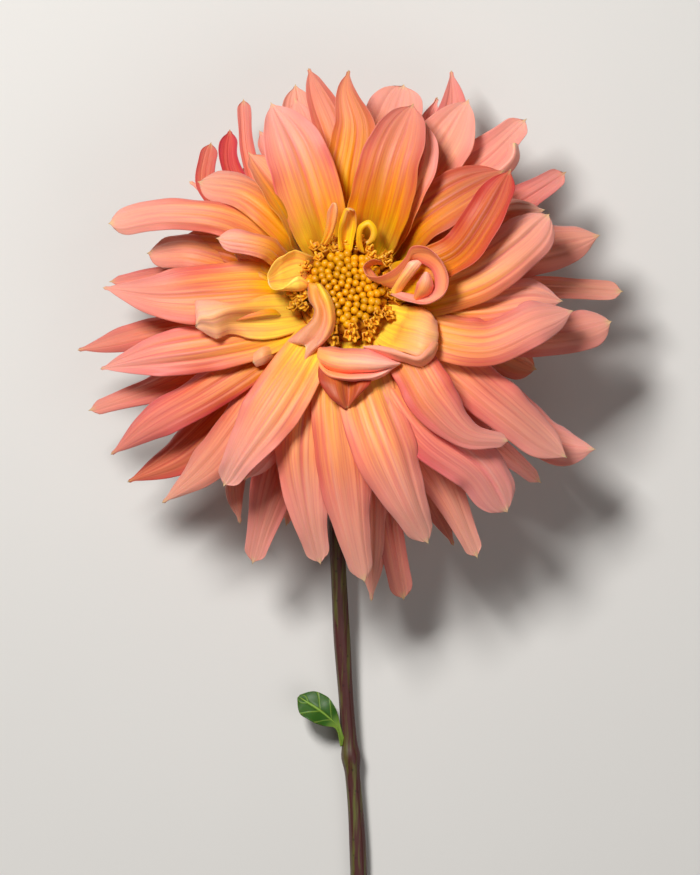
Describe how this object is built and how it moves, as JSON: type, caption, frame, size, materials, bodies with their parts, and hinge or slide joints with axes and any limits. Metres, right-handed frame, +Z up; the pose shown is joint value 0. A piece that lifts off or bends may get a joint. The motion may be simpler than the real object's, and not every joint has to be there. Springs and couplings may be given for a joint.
{
  "type": "cut dahlia",
  "caption": "Cut dahlia with layered coral petals round an open golden disc, on a bent stem with a small leaf, lying face up.",
  "frame": {"origin": "middle of the flower's box on the surface that it lies on", "axes": "+Z up, away from the surface and out of the bloom's face; +Y from the cut end of the stem to the bloom"},
  "size_m": [0.186, 0.3171, 0.0829],
  "materials": {
    "petal": "velvety coral petal, golden at its base, with lengthwise veins",
    "disc": "waxy ochre florets",
    "bract": "matte green bract",
    "stem": "smooth maroon stem with green streaks",
    "leaf": "matte green leaf with pale veins"
  },
  "bodies": {
    "root": {"ray_petals": "petal", "disc_florets": "disc", "bracts": "bract", "stem": "stem", "leaf": "leaf"}
  },
  "joints": []
}
